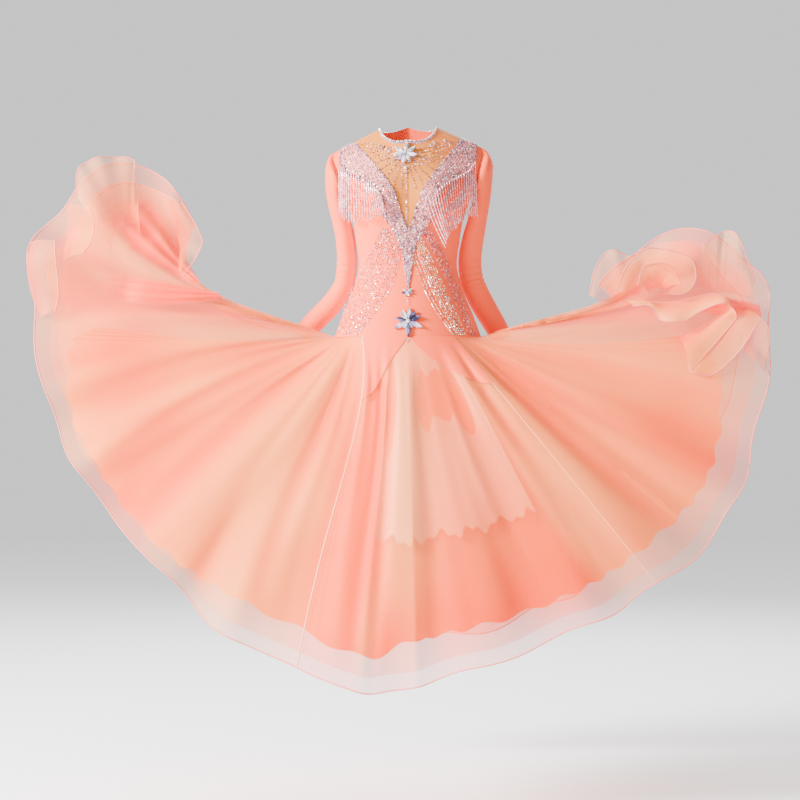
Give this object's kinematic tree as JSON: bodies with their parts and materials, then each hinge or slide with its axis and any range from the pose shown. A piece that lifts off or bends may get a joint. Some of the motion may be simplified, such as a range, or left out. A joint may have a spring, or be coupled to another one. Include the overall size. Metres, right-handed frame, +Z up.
{
  "type": "ballroom dance dress",
  "caption": "Coral jersey and peach organza ballroom dress with a net V yoke, stoned bands, beaded fringe and a swept wide skirt.",
  "frame": {"origin": "midway between the two shoulder points, at the height of the shoulder seams, where the wearer's shoulders carry the dress", "axes": "+Z up, the dress faces -Y, +X towards the viewer's right seen from the front"},
  "size_m": [1.7453, 0.8331, 1.3155],
  "materials": {
    "jersey": "coral stretch jersey with a soft sheen",
    "net": "skin-toned fine stretch net",
    "stoned_band": "satin band set close with small stones",
    "stones": "faceted clear and silver-backed stones",
    "beads": "glossy rose bead strands",
    "organza": "sheer peach organza in layers with a narrow stiffened hem",
    "lining": "denser peach lining skirt"
  },
  "bodies": {
    "root": {"bodice_front": "jersey", "bodice_back": "jersey", "sleeve_left": "jersey", "sleeve_right": "jersey", "yoke_front": "net", "band_left": "stoned_band", "band_right": "stoned_band", "neck_trim_front": "stones", "neck_trim_back": "stones", "fringe_left": "beads", "fringe_right": "beads", "neck_flower": "stones", "waist_motif": "stones", "hip_brooch": "stones", "skirt_front_godet": "organza", "skirt_front_left": "organza", "skirt_front_right": "organza", "skirt_side_left": "organza", "skirt_side_right": "organza", "skirt_back_left": "organza", "skirt_back_right": "organza", "flounce_left_inner": "organza", "flounce_left_outer": "organza", "flounce_right_inner": "organza", "flounce_right_outer": "organza", "lining_skirt": "lining"}
  },
  "joints": []
}
